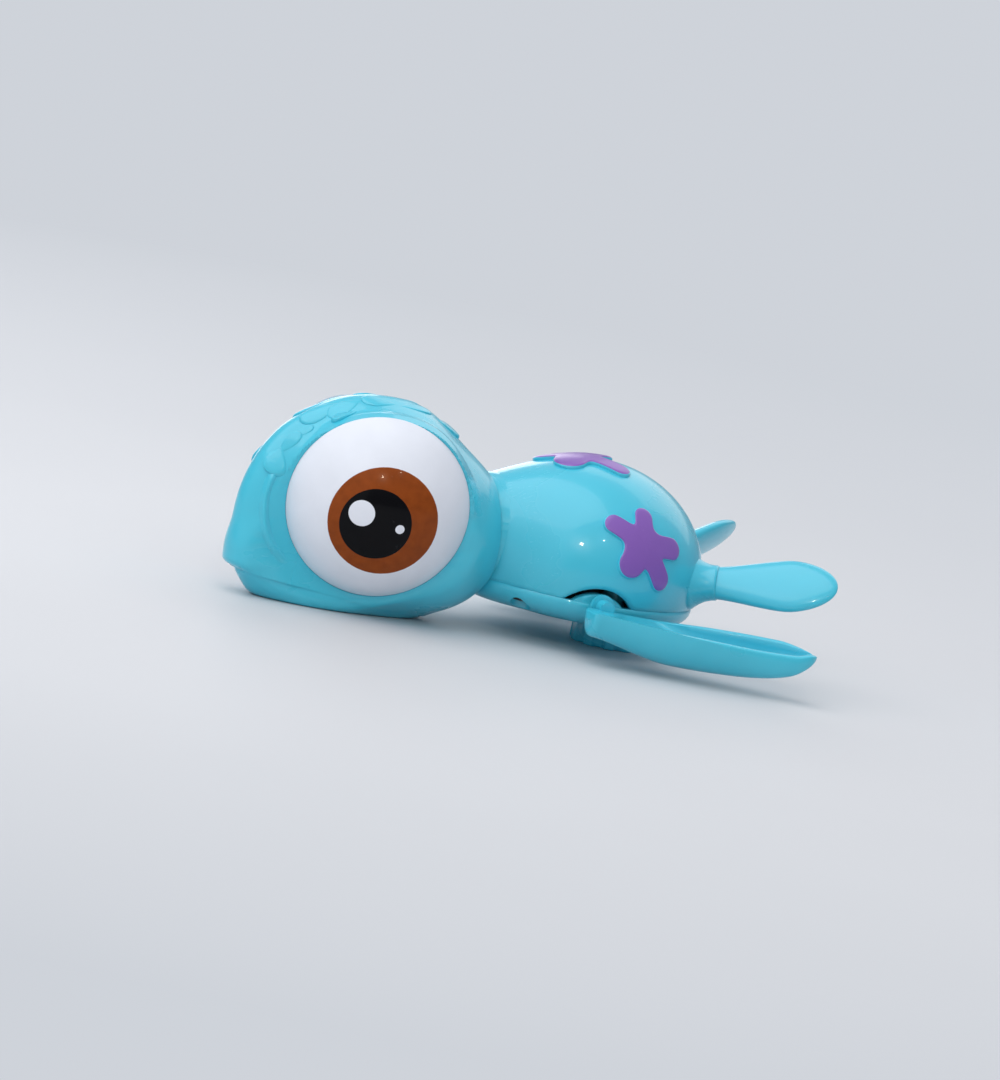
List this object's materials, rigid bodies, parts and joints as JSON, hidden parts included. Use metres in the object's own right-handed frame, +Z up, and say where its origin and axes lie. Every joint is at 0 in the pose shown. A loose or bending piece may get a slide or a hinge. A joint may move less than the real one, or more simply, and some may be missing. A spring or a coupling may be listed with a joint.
{
  "type": "wind-up bath toy",
  "caption": "Big-eyed sea turtle bath toy with a spring motor, wound by a knob under the belly, that rows itself with scoop flippers on a cross axle.",
  "frame": {"origin": "on the table plane at the middle of the winding knob's bottom face", "axes": "+X towards the nose, +Y towards the toy's left, +Z up"},
  "size_m": [0.1207, 0.0814, 0.044],
  "materials": {
    "shell": "glossy moulded",
    "eye_white": "glossy moulded",
    "motor_white": "as moulded",
    "motor_grey": "as moulded",
    "steel": "plain",
    "seal": "matt"
  },
  "bodies": {
    "body": {"head_shell": "shell", "jaw": "shell", "eye_left": "eye_white", "eye_right": "eye_white", "jaw_screws": "steel", "carapace": "shell", "belly_pan": "shell", "body_screws": "steel", "rear_leg_left": "shell", "rear_leg_right": "shell", "gearbox_base": "motor_grey", "gearbox_cover": "motor_grey", "gearbox_screws": "steel", "mainspring": "steel", "spring_plate": "motor_white", "crown_pin": "steel", "axle_bush_left": "motor_white", "axle_bush_right": "motor_white", "knob_seal": "seal"},
    "paddles": {"axle": "steel", "axle_pinion": "motor_white", "flipper_left": "shell", "flipper_right": "shell"},
    "crown": {"crown_wheel": "motor_white"},
    "main": {"main_wheel": "motor_white", "click": "motor_white"},
    "winder": {"winding_arbor": "steel", "ratchet_wheel": "motor_grey", "winding_knob": "shell"}
  },
  "joints": [
    {"name": "paddle_spin", "type": "hinge", "parent": "body", "child": "paddles", "pos_m": [0.0125, 0, 0.011], "axis": [0, 1, 0], "continuous": true},
    {"name": "crown_spin", "type": "hinge", "parent": "body", "child": "crown", "pos_m": [0.0125, 0, 0.0135], "axis": [0, 0, 1], "continuous": true},
    {"name": "main_spin", "type": "hinge", "parent": "body", "child": "main", "pos_m": [0, 0, 0.016], "axis": [0, 0, 1], "continuous": true},
    {"name": "winding", "type": "hinge", "parent": "main", "child": "winder", "pos_m": [0, 0, 0], "axis": [0, 0, 1], "range_deg": [0, 1800]}
  ],
  "couplings": [
    {"joint": "crown_spin", "follows": "paddle_spin", "ratio": 0.25},
    {"joint": "main_spin", "follows": "paddle_spin", "ratio": -0.0625}
  ]
}
